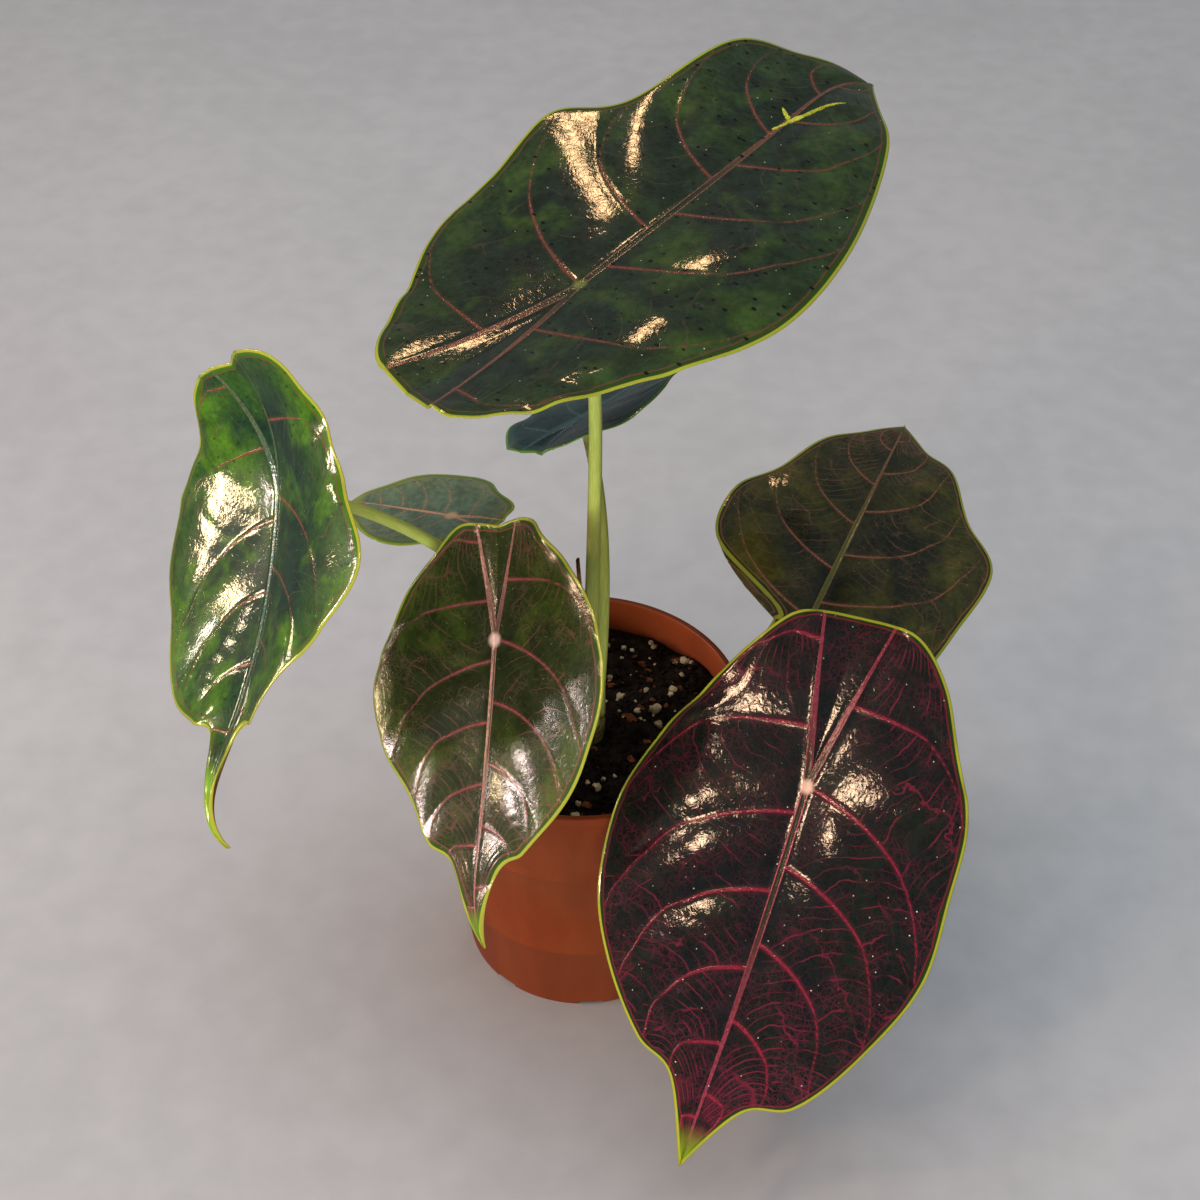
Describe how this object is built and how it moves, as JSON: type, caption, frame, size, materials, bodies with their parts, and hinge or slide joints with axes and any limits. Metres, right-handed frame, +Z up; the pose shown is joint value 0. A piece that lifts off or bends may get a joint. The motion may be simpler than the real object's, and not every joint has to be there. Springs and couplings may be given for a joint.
{
  "type": "potted alocasia azlanii",
  "caption": "Potted jewel aroid with glossy, quilted, heart-shaped leaves and coloured veins on slim stalks, rooted in potting mix in a round tapered nursery pot.",
  "frame": {"origin": "centre of the pot's flat underside", "axes": "+Z up; +Y away from the viewer who sees the two large drooping leaves in front; +X to that viewer's right"},
  "size_m": [0.3016, 0.2704, 0.3275],
  "materials": {
    "pot": "terracotta-coloured nursery pot plastic, matte with a faint moulded sheen",
    "mix": "near-black peat and bark potting mix with white perlite crumbs",
    "shoot": "short olive-brown aroid stem, waxy",
    "cataphyll": "dry brown papery sheath",
    "stalk": "fresh yellow-green leaf stalk, waxy, faintly mottled",
    "blade": "thick glossy leaf, dark green to bronze, with red veins and a thin yellow-green margin"
  },
  "bodies": {
    "root": {"pot": "pot", "potting_mix": "mix", "shoot_main": "shoot", "shoot_offset": "shoot", "cataphyll": "cataphyll", "stalk_top": "stalk", "stalk_left": "stalk", "stalk_small": "stalk", "stalk_front": "stalk", "stalk_large": "stalk", "stalk_rear": "stalk", "stalk_young": "stalk", "blade_top": "blade", "blade_left": "blade", "blade_small": "blade", "blade_front": "blade", "blade_large": "blade", "blade_rear": "blade", "blade_young": "blade"}
  },
  "joints": []
}
